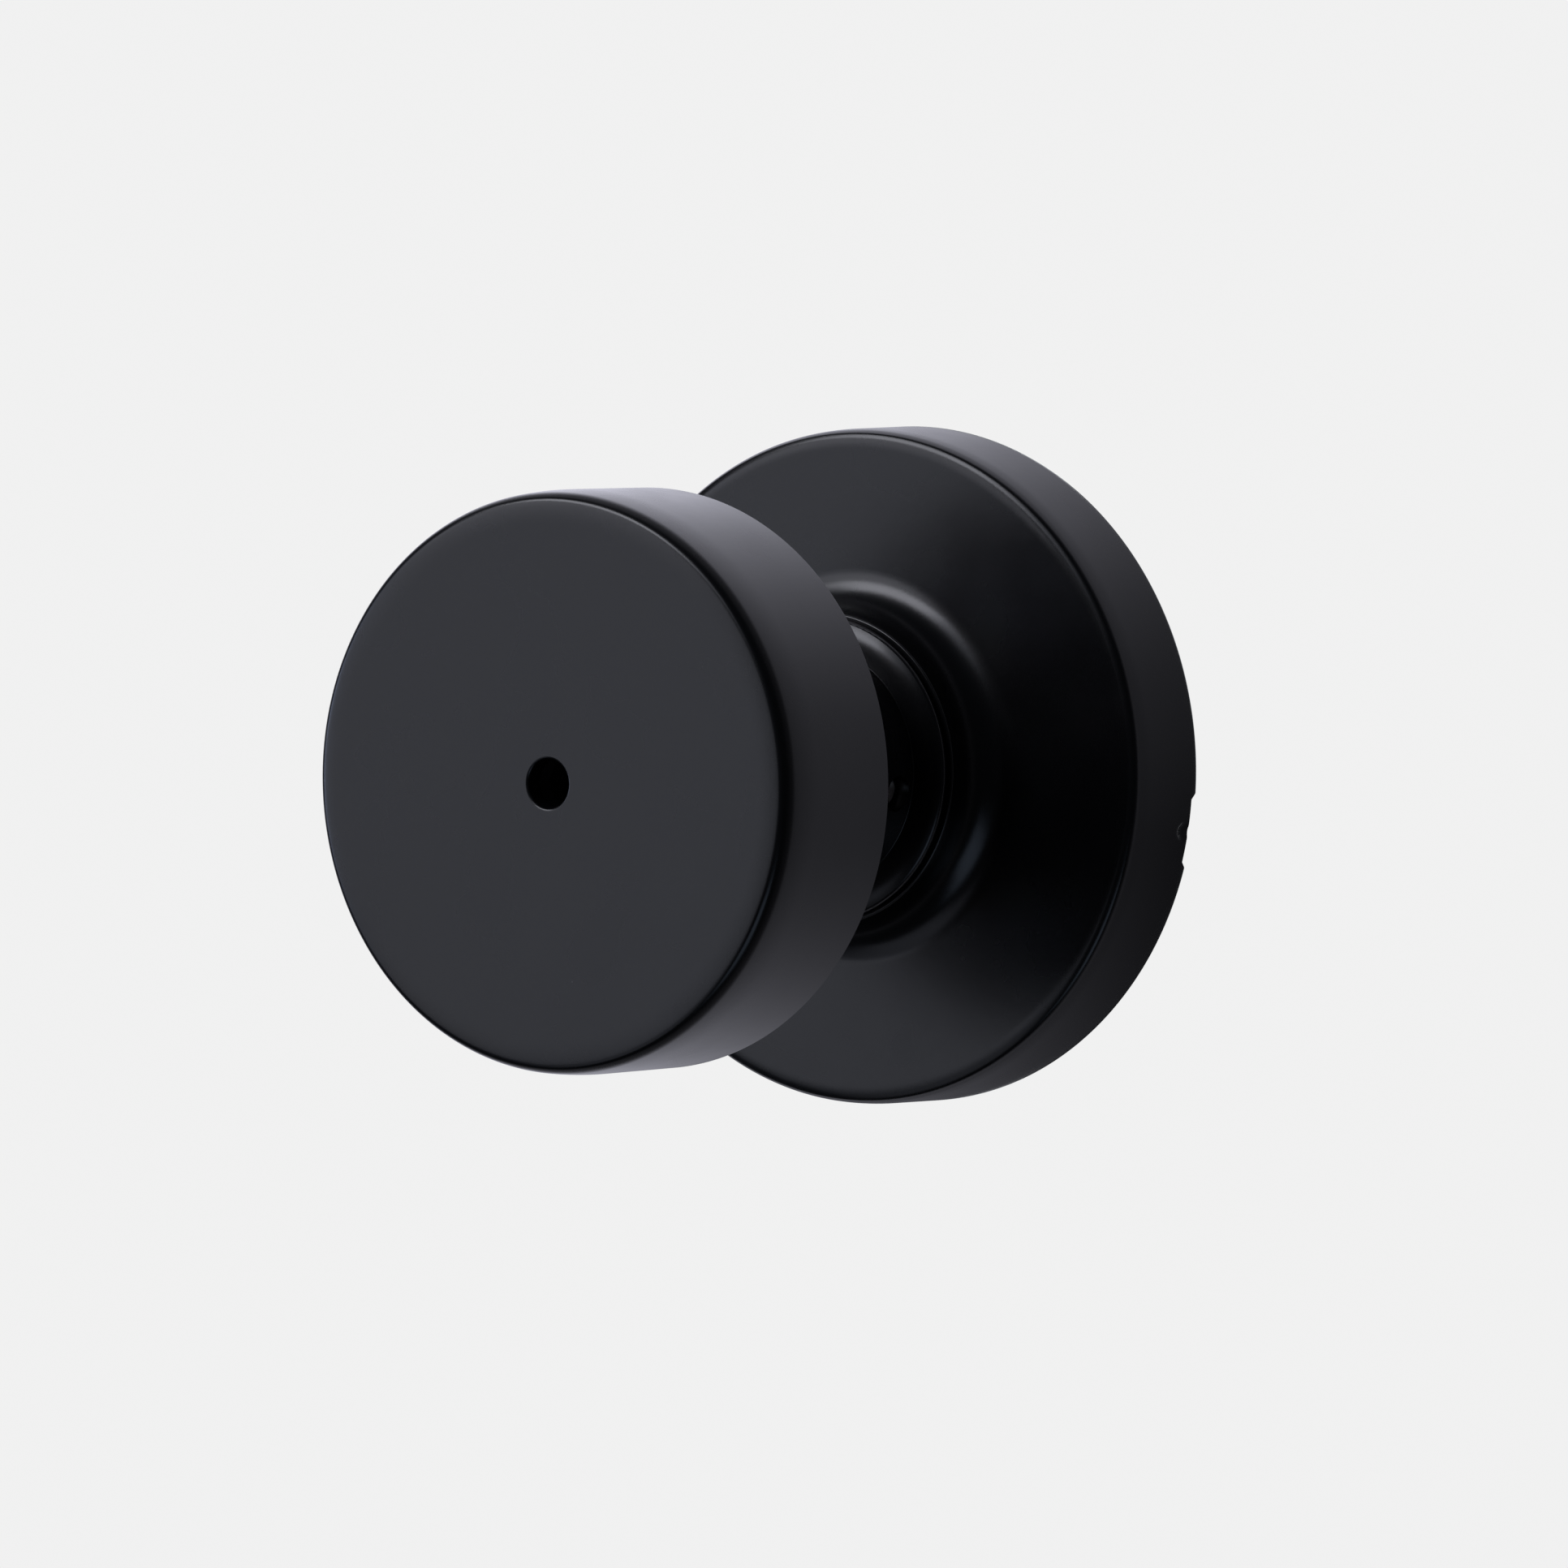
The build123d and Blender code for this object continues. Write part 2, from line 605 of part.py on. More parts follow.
with BuildPart() as key_guide:
    with BuildSketch(Plane.XY):
        with BuildLine():
            Polyline(
                pt(KEY_GUIDE_BORE, KEY_GUIDE_REAR),
                pt(KEY_GUIDE_RADIUS, KEY_GUIDE_REAR),
                pt(KEY_GUIDE_RADIUS, KNOB_FRONT - KNOB_FACE_THICKNESS - 1),
                pt(KEY_GUIDE_FLANGE, KNOB_FRONT - KNOB_FACE_THICKNESS - 1),
                pt(KEY_GUIDE_FLANGE, KNOB_FRONT - KNOB_FACE_THICKNESS),
                pt(KEY_GUIDE_BORE + KEY_GUIDE_MOUTH, KNOB_FRONT - KNOB_FACE_THICKNESS),
                pt(KEY_GUIDE_BORE, KNOB_FRONT - KNOB_FACE_THICKNESS - 2 * KEY_GUIDE_MOUTH),
                close=True,
            )
        make_face()
    revolve(axis=Axis.Y)
save(key_guide.part, "key_guide")

with BuildPart() as drive_sleeve:
    with BuildSketch(at(SLEEVE_REAR)):
        Circle(SLEEVE_RADIUS)
    extrude(amount=SLEEVE_FRONT - SLEEVE_REAR)
    with BuildSketch(at(TAIL_REAR)):
        Circle(SLEEVE_RADIUS + 1)
        Rectangle(2 * SLEEVE_RADIUS + 3, 2 * SLEEVE_FLAT, mode=Mode.SUBTRACT)
    extrude(amount=SLEEVE_FRONT - TAIL_REAR, mode=Mode.SUBTRACT)
    with BuildSketch(at(RING_REAR)):
        Circle(SLEEVE_RADIUS + 1)
        Circle(GROOVE_RADIUS, mode=Mode.SUBTRACT)
    extrude(amount=RING_THICKNESS, mode=Mode.SUBTRACT)
    with BuildSketch(at(SLEEVE_REAR)):
        Circle(SLEEVE_BORE)
    extrude(amount=SLEEVE_FRONT - SLEEVE_REAR, mode=Mode.SUBTRACT)
    with BuildSketch(radial_plane(0, CATCH_DEPTH)):
        Circle(CATCH_SLEEVE_HOLE)
    extrude(amount=SLEEVE_RADIUS + 1, mode=Mode.SUBTRACT)
save(drive_sleeve.part, "drive_sleeve")

with BuildPart() as spring_cam:
    with BuildSketch(at(CAM_REAR)):
        Circle(CAM_RADIUS)
        add(sector(CAM_RADIUS - 2, STOP_ARM_RADIUS, 0, STOP_ARM_HALF_ANGLE))
        add(sector(CAM_RADIUS - 2, CAM_FINGER[1], 180, CAM_FINGER_HALF_ANGLE))
        Circle(SLEEVE_RADIUS, mode=Mode.SUBTRACT)
    extrude(amount=CAM_THICKNESS)
    # Finger bent back between the legs of the return spring
    with BuildSketch(at(CAM_FINGER_REAR)):
        add(sector(*CAM_FINGER, 180, CAM_FINGER_HALF_ANGLE))
    extrude(amount=CAM_REAR - CAM_FINGER_REAR)
save(spring_cam.part, "spring_cam")

with BuildPart() as retaining_ring:
    with BuildSketch(at(RING_REAR)):
        Circle(RING_RADIUS)
        Circle(GROOVE_RADIUS, mode=Mode.SUBTRACT)
        add(sector(1, RING_RADIUS + 2, 180, RING_GAP_ANGLE / 2), mode=Mode.SUBTRACT)
    extrude(amount=RING_THICKNESS)
save(retaining_ring.part, "retaining_ring")

with BuildPart() as spindle_plug:
    with BuildSketch(at(PLUG_REAR)):
        Circle(SLEEVE_BORE)
        Rectangle(SPINDLE_SIZE, SPINDLE_SIZE, mode=Mode.SUBTRACT)
    extrude(amount=PLUG_FRONT - PLUG_REAR)
    with BuildSketch(Plane.YZ.offset(-SLEEVE_BORE)):
        with Locations((-SPINDLE_PIN_DEPTH, SPINDLE_PIN_HEIGHT)):
            Circle(SPINDLE_PIN_RADIUS)
    extrude(amount=2 * SLEEVE_BORE, mode=Mode.SUBTRACT)
save(spindle_plug.part, "spindle_plug")

with BuildPart() as spindle:
    with BuildSketch(at(SPINDLE_FRONT)):
        Rectangle(SPINDLE_SIZE, SPINDLE_SIZE)
    extrude(amount=-(SPINDLE_FRONT + SPINDLE_REACH))
    chamfer(spindle.edges().group_by(Axis.Y)[-1], SPINDLE_CHAMFER)
    with BuildSketch(at(SPINDLE_FRONT)):
        Circle(SPINDLE_BORE)
    extrude(amount=-(SPINDLE_FRONT + SPINDLE_REACH), mode=Mode.SUBTRACT)
    with BuildSketch(Plane.YZ.offset(-SLEEVE_BORE)):
        with Locations((-SPINDLE_PIN_DEPTH, SPINDLE_PIN_HEIGHT)):
            Circle(SPINDLE_PIN_RADIUS)
    extrude(amount=2 * SLEEVE_BORE, mode=Mode.SUBTRACT)
save(spindle.part, "spindle")

with BuildPart() as spindle_pin:
    with BuildSketch(Plane.YZ.offset(-SPINDLE_PIN_LENGTH / 2)):
        with Locations((-SPINDLE_PIN_DEPTH, SPINDLE_PIN_HEIGHT)):
            Circle(SPINDLE_PIN_RADIUS)
    extrude(amount=SPINDLE_PIN_LENGTH)
save(spindle_pin.part, "spindle_pin")

with BuildPart() as rod_guide:
    with BuildSketch(at(GUIDE_DISC_REAR)):
        Circle(SLEEVE_BORE)
    extrude(amount=GUIDE_FRONT - GUIDE_DISC_REAR)
    with BuildSketch(at(GUIDE_REAR)):
        Circle(GUIDE_TUBE_RADIUS)
    extrude(amount=GUIDE_DISC_REAR - GUIDE_REAR)
    with BuildSketch(at(GUIDE_FRONT)):
        Circle(GUIDE_POCKET_RADIUS)
    extrude(amount=-GUIDE_POCKET_DEPTH, mode=Mode.SUBTRACT)
    with BuildSketch(at(GUIDE_REAR)):
        Circle(ROD_RADIUS + RUNNING_CLEARANCE)
    extrude(amount=GUIDE_FRONT - GUIDE_REAR, mode=Mode.SUBTRACT)
save(rod_guide.part, "rod_guide")

# ---------------------------------------------------------- catch that holds the knob on

with BuildPart() as knob_catch:
    with BuildSketch(radial_plane(CATCH_SEAT, CATCH_DEPTH)):
        Circle(CATCH_RADIUS)
    extrude(amount=CATCH_TIP - CATCH_SEAT)
    fillet(knob_catch.edges().filter_by(GeomType.CIRCLE).sort_by(Axis.X)[-1], 0.5)
    with BuildSketch(radial_plane(CATCH_SEAT, CATCH_DEPTH)):
        Circle(CATCH_FLANGE_RADIUS)
    extrude(amount=CATCH_FLANGE_THICKNESS)
save(knob_catch.part, "knob_catch")

save(
    coil_spring(
        radial_plane(GUIDE_TUBE_RADIUS + 0.3, CATCH_DEPTH),
        CATCH_SPRING_RADIUS,
        CATCH_SPRING_WIRE,
        CATCH_SEAT - GUIDE_TUBE_RADIUS - 0.55,
        CATCH_SPRING_TURNS,
    ),
    "catch_spring",
)

# ------------------------------------------------------------------ privacy release

with BuildPart() as release_rod:
    with BuildSketch(at(ROD_TIP)):
        Circle(ROD_RADIUS)
    extrude(amount=ROD_FRONT - ROD_TIP)
    chamfer(release_rod.edges().filter_by(GeomType.CIRCLE).sort_by(Axis.Y)[-1], 0.4)
    with BuildSketch(at(ROD_FRONT - ROD_HEAD_LENGTH)):
        Circle(ROD_HEAD_RADIUS)
    extrude(amount=ROD_HEAD_LENGTH)
    with BuildSketch(at(ROD_FRONT)):
        Rectangle(2 * ROD_HEAD_RADIUS + 1, ROD_SLOT[0])
    extrude(amount=-ROD_SLOT[1], mode=Mode.SUBTRACT)
    with BuildSketch(at(ROD_CLIP_REAR)):
        Circle(ROD_RADIUS + 1)
        Circle(ROD_GROOVE_RADIUS, mode=Mode.SUBTRACT)
    extrude(amount=ROD_CLIP_THICKNESS, mode=Mode.SUBTRACT)
save(release_rod.part, "release_rod")

with BuildPart() as rod_clip:
    with BuildSketch(at(ROD_CLIP_REAR)):
        Circle(ROD_CLIP_RADIUS)
        Circle(ROD_GROOVE_RADIUS, mode=Mode.SUBTRACT)
        add(sector(0.2, ROD_CLIP_RADIUS + 1, 180, ROD_CLIP_GAP_HALF_ANGLE), mode=Mode.SUBTRACT)
    extrude(amount=ROD_CLIP_THICKNESS)
save(rod_clip.part, "rod_clip")

release_seat = GUIDE_FRONT - GUIDE_POCKET_DEPTH + RELEASE_SPRING_WIRE + 0.05
save(
    coil_spring(
        at(release_seat),
        RELEASE_SPRING_RADIUS,
        RELEASE_SPRING_WIRE,
        ROD_CLIP_REAR - RELEASE_SPRING_WIRE - 0.05 - release_seat,
        RELEASE_SPRING_TURNS,
    ),
    "release_spring",
)
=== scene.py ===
"""Looks of the black door knob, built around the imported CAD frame."""

import json
import math

import bmesh
import bpy
from mathutils import Matrix, Vector


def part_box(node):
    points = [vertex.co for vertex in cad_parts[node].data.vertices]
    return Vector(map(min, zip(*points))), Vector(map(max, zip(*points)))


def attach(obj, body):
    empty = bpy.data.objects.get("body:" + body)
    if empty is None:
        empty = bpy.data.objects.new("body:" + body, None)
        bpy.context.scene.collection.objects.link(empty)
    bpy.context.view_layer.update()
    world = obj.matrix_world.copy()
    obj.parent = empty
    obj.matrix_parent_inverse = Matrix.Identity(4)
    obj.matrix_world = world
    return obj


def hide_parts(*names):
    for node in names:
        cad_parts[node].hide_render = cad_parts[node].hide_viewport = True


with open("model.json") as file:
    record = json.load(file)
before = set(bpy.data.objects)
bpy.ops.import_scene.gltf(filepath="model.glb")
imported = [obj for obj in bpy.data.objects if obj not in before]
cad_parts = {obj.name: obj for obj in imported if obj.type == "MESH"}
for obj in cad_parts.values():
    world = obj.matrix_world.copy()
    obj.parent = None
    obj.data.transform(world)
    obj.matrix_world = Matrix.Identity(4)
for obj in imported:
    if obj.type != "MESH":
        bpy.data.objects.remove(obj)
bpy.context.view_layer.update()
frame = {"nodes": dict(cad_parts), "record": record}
nodes = frame["nodes"]
scene = bpy.context.scene
scene.view_settings.view_transform = "Standard"

MM = 0.001
AROUND = 288  # steps round the knob and the rose
SHARP = math.radians(32)  # edges that bend more than this stay crisp
EDGE_SAMPLES = 6
NOTCH_ANGLE = math.radians(-9.5)  # the place of the rose's notch and dimple, from +X towards +Z

# ------------------------------------------------------------------ materials


class Shader:
    """A node tree with short ways to add and join nodes."""

    def __init__(self, name):
        self.material = bpy.data.materials.new(name)
        self.material.use_nodes = True
        self.tree = self.material.node_tree
        self.bsdf = self.tree.nodes["Principled BSDF"]

    def node(self, kind, **values):
        made = self.tree.nodes.new("ShaderNode" + kind)
        for key, value in values.items():
            setattr(made, key, value)
        return made

    def join(self, source, target):
        self.tree.links.new(source, target)

    def position(self, scale=(1, 1, 1)):
        """The piece's own coordinates, in metres times scale."""
        coordinates = self.node("TexCoord")
        mapping = self.node("Mapping")
        mapping.inputs["Scale"].default_value = scale
        self.join(coordinates.outputs["Object"], mapping.inputs["Vector"])
        return mapping.outputs["Vector"]

    def noise(self, size, detail=2.0, rough=0.5, stretch=(1, 1, 1)):
        """Noise whose features are about size metres across."""
        made = self.node("TexNoise")
        made.inputs["Scale"].default_value = 1.0 / size
        made.inputs["Detail"].default_value = detail
        made.inputs["Roughness"].default_value = rough
        self.join(self.position(stretch), made.inputs["Vector"])
        return made.outputs["Fac"]

    def cells(self, size):
        """Cells about size metres across, each with its own colour and distance from its middle."""
        made = self.node("TexVoronoi")
        made.inputs["Scale"].default_value = 1.0 / size
        self.join(self.position(), made.inputs["Vector"])
        return made

    def remap(self, value, low, high, new_low, new_high):
        """A value from low to high, brought to the new range and held at its ends."""
        made = self.node("MapRange")
        made.inputs["From Min"].default_value = low
        made.inputs["From Max"].default_value = high
        made.inputs["To Min"].default_value = new_low
        made.inputs["To Max"].default_value = new_high
        self.join(value, made.inputs["Value"])
        return made.outputs["Result"]

    def calculate(self, operation, first, second=0.0):
        """A calculation on two numbers or outputs, or on the first one alone."""
        made = self.node("Math", operation=operation)
        for socket, value in zip(made.inputs, (first, second)):
            if isinstance(value, (int, float)):
                socket.default_value = value
            else:
                self.join(value, socket)
        return made.outputs["Value"]

    def mix(self, factor, first, second):
        """From the first colour at factor 0 to the second at 1."""
        made = self.node("Mix", data_type="RGBA")
        self.join(factor, made.inputs["Factor"])
        for socket, value in ((made.inputs["A"], first), (made.inputs["B"], second)):
            if isinstance(value, tuple):
                socket.default_value = (*value, 1.0)
            else:
                self.join(value, socket)
        return made.outputs["Result"]

    def bump(self, layers, edge=0.0):
        """Bumps one on another, each (height output, strength, distance in metres).

        edge is the radius in metres to which sharp edges look broken.
        """
        normal = None
        if edge:
            rounded_edge = self.node("Bevel", samples=EDGE_SAMPLES)
            rounded_edge.inputs["Radius"].default_value = edge
            normal = rounded_edge.outputs["Normal"]
        for height, strength, distance in layers:
            made = self.node("Bump")
            made.inputs["Strength"].default_value = strength
            made.inputs["Distance"].default_value = distance
            self.join(height, made.inputs["Height"])
            if normal is not None:
                self.join(normal, made.inputs["Normal"])
            normal = made.outputs["Normal"]
        self.join(normal, self.bsdf.inputs["Normal"])


# The finishes' features and the heights of their bumps are in metres.
BROKEN_EDGE = 0.00012
PATCH_NOISE = (0.3, 0.7)  # where most of a noise's values lie

BLACK_COLOURS = ((0.0026, 0.0027, 0.0034), (0.0040, 0.0042, 0.0052))
BLACK_ROUGHNESS = (0.24, 0.29)
BLACK_PATCH = 0.009
ORANGE_PEEL, ORANGE_PEEL_HEIGHT = 0.0011, 0.00004
BLACK_GRAIN, BLACK_GRAIN_HEIGHT = 0.00022, 0.00001
DUST_SPACING = 0.0032
DUST_RADIUS = (0.018, 0.026)  # from solid to gone, as parts of the spacing
DUST_CLEAN = (0.955, 0.96)  # the part of the cells that has no dust
DUST_COVER = 0.55
DUST_COLOUR = (0.30, 0.30, 0.30)

METAL_PATCH = 0.006
METAL_PATCH_NOISE = (0.35, 0.65)
METAL_GRAIN_HEIGHT = 0.00004
PLASTIC_PATCH = 0.004
PLASTIC_GRAIN, PLASTIC_GRAIN_HEIGHT = 0.0003, 0.00002


def black_finish():
    """A satin near-black coating with a faint orange peel and rare specks of dust."""
    shader = Shader("black_finish")
    bsdf = shader.bsdf
    bsdf.inputs["IOR"].default_value = 1.5
    orange_peel = shader.noise(ORANGE_PEEL, 2.0, 0.5)
    grain = shader.noise(BLACK_GRAIN, 2.0, 0.6)
    patches = shader.noise(BLACK_PATCH, 3.0, 0.55)
    colour = shader.mix(patches, *BLACK_COLOURS)
    specks = shader.cells(DUST_SPACING)
    speck = shader.remap(specks.outputs["Distance"], *DUST_RADIUS, 1.0, 0.0)
    chance = shader.node("SeparateColor")
    shader.join(specks.outputs["Color"], chance.inputs["Color"])
    rare = shader.remap(chance.outputs["Red"], *DUST_CLEAN, 0.0, DUST_COVER)
    dusty = shader.calculate("MULTIPLY", speck, rare)
    shader.join(shader.mix(dusty, colour, DUST_COLOUR), bsdf.inputs["Base Color"])
    shader.join(shader.remap(patches, *PATCH_NOISE, *BLACK_ROUGHNESS), bsdf.inputs["Roughness"])
    shader.bump([(orange_peel, 0.12, ORANGE_PEEL_HEIGHT), (grain, 0.10, BLACK_GRAIN_HEIGHT)])
    return shader.material


def metal(name, colour, roughness, grain_size, grain, stretch=(1, 1, 1), dull=None):
    """A bare or plated metal with a worn, uneven sheen. dull is the colour of its patches."""
    shader = Shader(name)
    bsdf = shader.bsdf
    bsdf.inputs["Metallic"].default_value = 1.0
    patches = shader.noise(METAL_PATCH, 4.0, 0.6)
    dull = dull or tuple(channel * 0.8 for channel in colour)
    shader.join(shader.mix(shader.remap(patches, *METAL_PATCH_NOISE, 0.0, 1.0), colour, dull),
                bsdf.inputs["Base Color"])
    shader.join(shader.remap(patches, *PATCH_NOISE, roughness * 0.85, roughness * 1.2),
                bsdf.inputs["Roughness"])
    fine = shader.noise(grain_size, 3.0, 0.6, stretch)
    shader.bump([(fine, grain, METAL_GRAIN_HEIGHT)], BROKEN_EDGE)
    return shader.material


def plastic(name, colour, roughness):
    """A moulded plastic that lets a little light in."""
    shader = Shader(name)
    bsdf = shader.bsdf
    patches = shader.noise(PLASTIC_PATCH, 3.0, 0.5)
    darker = tuple(channel * 0.9 for channel in colour)
    shader.join(shader.mix(patches, colour, darker), bsdf.inputs["Base Color"])
    shader.join(shader.remap(patches, *PATCH_NOISE, roughness * 0.9, roughness * 1.15),
                bsdf.inputs["Roughness"])
    bsdf.inputs["Subsurface Weight"].default_value = 0.05
    bsdf.inputs["Subsurface Scale"].default_value = 0.001
    shader.bump([(shader.noise(PLASTIC_GRAIN, 2.0, 0.5), 0.15, PLASTIC_GRAIN_HEIGHT)])
    return shader.material


MATERIALS = {
    "black_finish": black_finish(),
    "zinc_casting": metal("zinc_casting", (0.52, 0.53, 0.55), 0.42, 0.0005, 0.35),
    "zinc_plated_steel": metal("zinc_plated_steel", (0.66, 0.68, 0.72), 0.30, 0.0008, 0.15,
                               dull=(0.60, 0.61, 0.60)),
    "bright_steel": metal("bright_steel", (0.60, 0.60, 0.61), 0.25, 0.0003, 0.15, (1, 12, 1)),
    "nickel_plate": metal("nickel_plate", (0.78, 0.75, 0.70), 0.34, 0.0006, 0.06),
    "spring_steel": metal("spring_steel", (0.28, 0.28, 0.31), 0.30, 0.0002, 0.12),
    "pale_nylon": plastic("pale_nylon", (0.74, 0.71, 0.62), 0.40),
    "dark_nylon": plastic("dark_nylon", (0.012, 0.012, 0.013), 0.50),
}

for subpart in frame["record"]["subparts"]:
    node = nodes[subpart["node"]]
    node.data.materials.clear()
    node.data.materials.append(MATERIALS[subpart["material_slot"]])

# ------------------------------------------------------------------ turned pieces


def rounded(corners, come_from=None, go_to=None, steps=14, guard=0.08):
    """An outline through (radius, depth, fillet) corners, in millimetres, with arcs at the fillets.

    It is closed, or it runs from one point to another that are not themselves in it. A point
    guard millimetres out from each end of an arc keeps its shading off the flats beside it.
    """
    points = []
    path = [come_from or corners[-1], *corners, go_to or corners[0]]
    for index, (radius, depth, fillet) in enumerate(corners):
        here = Vector((radius, depth))
        if not fillet:
            points.append(here)
            continue
        before = (Vector(path[index][:2]) - here).normalized()
        after = (Vector(path[index + 2][:2]) - here).normalized()
        half = before.angle(after) / 2
        reach = fillet / math.tan(half)
        centre = here + (before + after).normalized() * fillet / math.sin(half)
        start, end = here + before * reach, here + after * reach
        first, sweep = start - centre, (start - centre).angle(end - centre)
        sign = 1 if first.x * (end - centre).y > first.y * (end - centre).x else -1
        points.append(start + before * guard)
        for step in range(steps + 1):
            angle = sign * sweep * step / steps
            spun = Vector((first.x * math.cos(angle) - first.y * math.sin(angle),
                           first.x * math.sin(angle) + first.y * math.cos(angle)))
            points.append(centre + spun)
        points.append(end + after * guard)
    return points


def soft_edge(wall_radius, face_depth, arcs, tilt=0.0, steps=8):
    """The rounded edge from a side wall to a face, as a row of tangent arcs.

    Each arc has its radius in millimetres and the tilt in degrees that it ends at, and the last
    ends at 90, flat with the face. wall_radius is the radius where the edge starts.
    """
    bends = []
    start = math.radians(tilt)
    for radius, end in arcs:
        bends.append((radius, start, math.radians(end)))
        start = math.radians(end)
    depth = face_depth - sum(radius * (math.sin(b) - math.sin(a)) for radius, a, b in bends)
    points = [Vector((wall_radius, depth))]
    for radius, begin, finish in bends:
        foot = points[-1] - radius * Vector((math.cos(begin), math.sin(begin)))
        for step in range(1, steps + 1):
            angle = begin + (finish - begin) * step / steps
            points.append(foot + radius * Vector((math.cos(angle), math.sin(angle))))
    return points


def subdivided(points, longest):
    """The outline again with its long straight runs cut shorter."""
    found = []
    for index, point in enumerate(points):
        after = points[(index + 1) % len(points)]
        pieces = max(1, math.ceil((after - point).length / longest))
        found += [point.lerp(after, piece / pieces) for piece in range(pieces)]
    return found


def even_angles(count, dense_at=None, dense_half=0.0, dense_count=0):
    """Angles round the axis, with finer steps on both sides of dense_at if it is given."""
    angles = [2 * math.pi * step / count - math.pi for step in range(count)]
    if dense_at is None:
        return angles
    angles = [a for a in angles if abs(a - dense_at) > dense_half]
    angles += [dense_at - dense_half + 2 * dense_half * step / dense_count
               for step in range(dense_count + 1)]
    return sorted(angles)


def finished(name, shape, body, material):
    """Turns a bmesh into a smooth-shaded piece that rides on a body."""
    bmesh.ops.recalc_face_normals(shape, faces=shape.faces)
    for face in shape.faces:
        face.smooth = True
    for edge in shape.edges:
        edge.smooth = edge.calc_face_angle(0) < SHARP
    mesh = bpy.data.meshes.new(name)
    shape.to_mesh(mesh)
    shape.free()
    mesh.materials.append(MATERIALS[material])
    piece = bpy.data.objects.new(name, mesh)
    scene.collection.objects.link(piece)
    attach(piece, body)
    return piece


def turned(name, outline, angles, body, material, shift=None, height=0.0):
    """A closed ring mesh: the outline spun about the knob's axis, or about an axis above it.

    shift may move each point of the outline by its angle.
    """
    shape = bmesh.new()
    rings = []
    for angle in angles:
        ring = []
        for radius, depth in outline:
            if shift:
                radius, depth = shift(radius, depth, angle)
            ring.append(shape.verts.new((radius * math.cos(angle) * MM, -depth * MM,
                                         (height + radius * math.sin(angle)) * MM)))
        rings.append(ring)
    count = len(outline)
    for index, ring in enumerate(rings):
        after = rings[(index + 1) % len(rings)]
        for step in range(count):
            shape.faces.new((ring[step], ring[(step + 1) % count],
                             after[(step + 1) % count], after[step]))
    return finished(name, shape, body, material)


def depth_span(node):
    """How far a node lies in front of the door, from rear to front, in millimetres."""
    low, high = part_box(node)
    return -high.y / MM, -low.y / MM


def radius_of(node):
    """The radius of a round node, in millimetres."""
    low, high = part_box(node)
    return (high.x - low.x) / 2 / MM


# Lengths are in millimetres. An edge is a row of arcs, each a radius and the tilt it ends at.
ROSE_SHEET = 1.0
ROSE_FACE = 10.39
ROSE_EDGE = ((12.0, 8.0), (1.5, 35.0), (0.6, 60.0), (1.5, 82.0), (6.0, 90.0))
ROSE_WALL_TILT = 0.9
ROSE_EDGE_DEPTH = 7.84
ROSE_INNER_FILLET = 0.4
ROSE_REAR_FILLET = 0.12
ROSE_SPACING = 0.4
COLLAR_RADIUS = 15.3
COLLAR_DRAFT = 0.1
COLLAR_SWEEP = 4.1
COLLAR_TIP_FILLET = 0.22
NOTCH_HALF_WIDTH = 3.7
NOTCH_HEIGHT = 0.65
NOTCH_SLOPE = 0.6
NOTCH_FADE = 4 * NOTCH_HEIGHT  # as deep as the notch still lifts the sheet
NOTCH_REACH = 3.0  # as far in from the rim as it does
DIMPLE_PLACE = 1.5
DIMPLE_RADIUS = 1.05
DIMPLE_DEPTH = 0.38
DIMPLE_REACH = 1.6  # as far in from the rim as the dimple presses
FINE_HALF = 0.16  # radians each side of the notch that have finer steps
FINE_STEPS = 120


def rose_shape(radius, depth, angle):
    """Adds the pry notch in the rear edge and the pressed dimple in the rim."""
    across = (angle - NOTCH_ANGLE) * radius
    if radius > rose_radius - NOTCH_REACH and depth < NOTCH_FADE:
        slope = min(max((NOTCH_HALF_WIDTH - abs(across)) / NOTCH_SLOPE, 0), 1)
        depth += NOTCH_HEIGHT * slope * (1 - depth / NOTCH_FADE)
    if radius > rose_radius - DIMPLE_REACH:
        away = math.hypot(across, depth - DIMPLE_PLACE) / DIMPLE_RADIUS
        if away < 1:
            radius -= DIMPLE_DEPTH * (1 - away * away) ** 1.5
    return radius, depth


rose_radius = radius_of("rose_cover")
rose_rear, collar_front = depth_span("rose_cover")
rose_edge_radius = rose_radius - ROSE_EDGE_DEPTH * math.tan(math.radians(ROSE_WALL_TILT))
rose_outline = soft_edge(rose_edge_radius, ROSE_FACE, ROSE_EDGE, ROSE_WALL_TILT) + rounded([
    (COLLAR_RADIUS + COLLAR_DRAFT, ROSE_FACE, COLLAR_SWEEP),
    (COLLAR_RADIUS, collar_front, COLLAR_TIP_FILLET),
    (COLLAR_RADIUS - ROSE_SHEET, collar_front, COLLAR_TIP_FILLET),
    (COLLAR_RADIUS - ROSE_SHEET, ROSE_FACE - ROSE_SHEET, COLLAR_SWEEP + ROSE_SHEET),
    (rose_edge_radius - ROSE_SHEET, ROSE_FACE - ROSE_SHEET, ROSE_INNER_FILLET),
    (rose_radius - ROSE_SHEET, rose_rear, ROSE_REAR_FILLET),
    (rose_radius, rose_rear, ROSE_REAR_FILLET),
], (rose_radius, ROSE_FACE), (rose_radius, ROSE_FACE))
rose = turned("rose_cover_skin", subdivided(rose_outline, ROSE_SPACING),
              even_angles(AROUND, NOTCH_ANGLE, FINE_HALF, FINE_STEPS), "rose", "black_finish",
              rose_shape)
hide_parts("rose_cover")

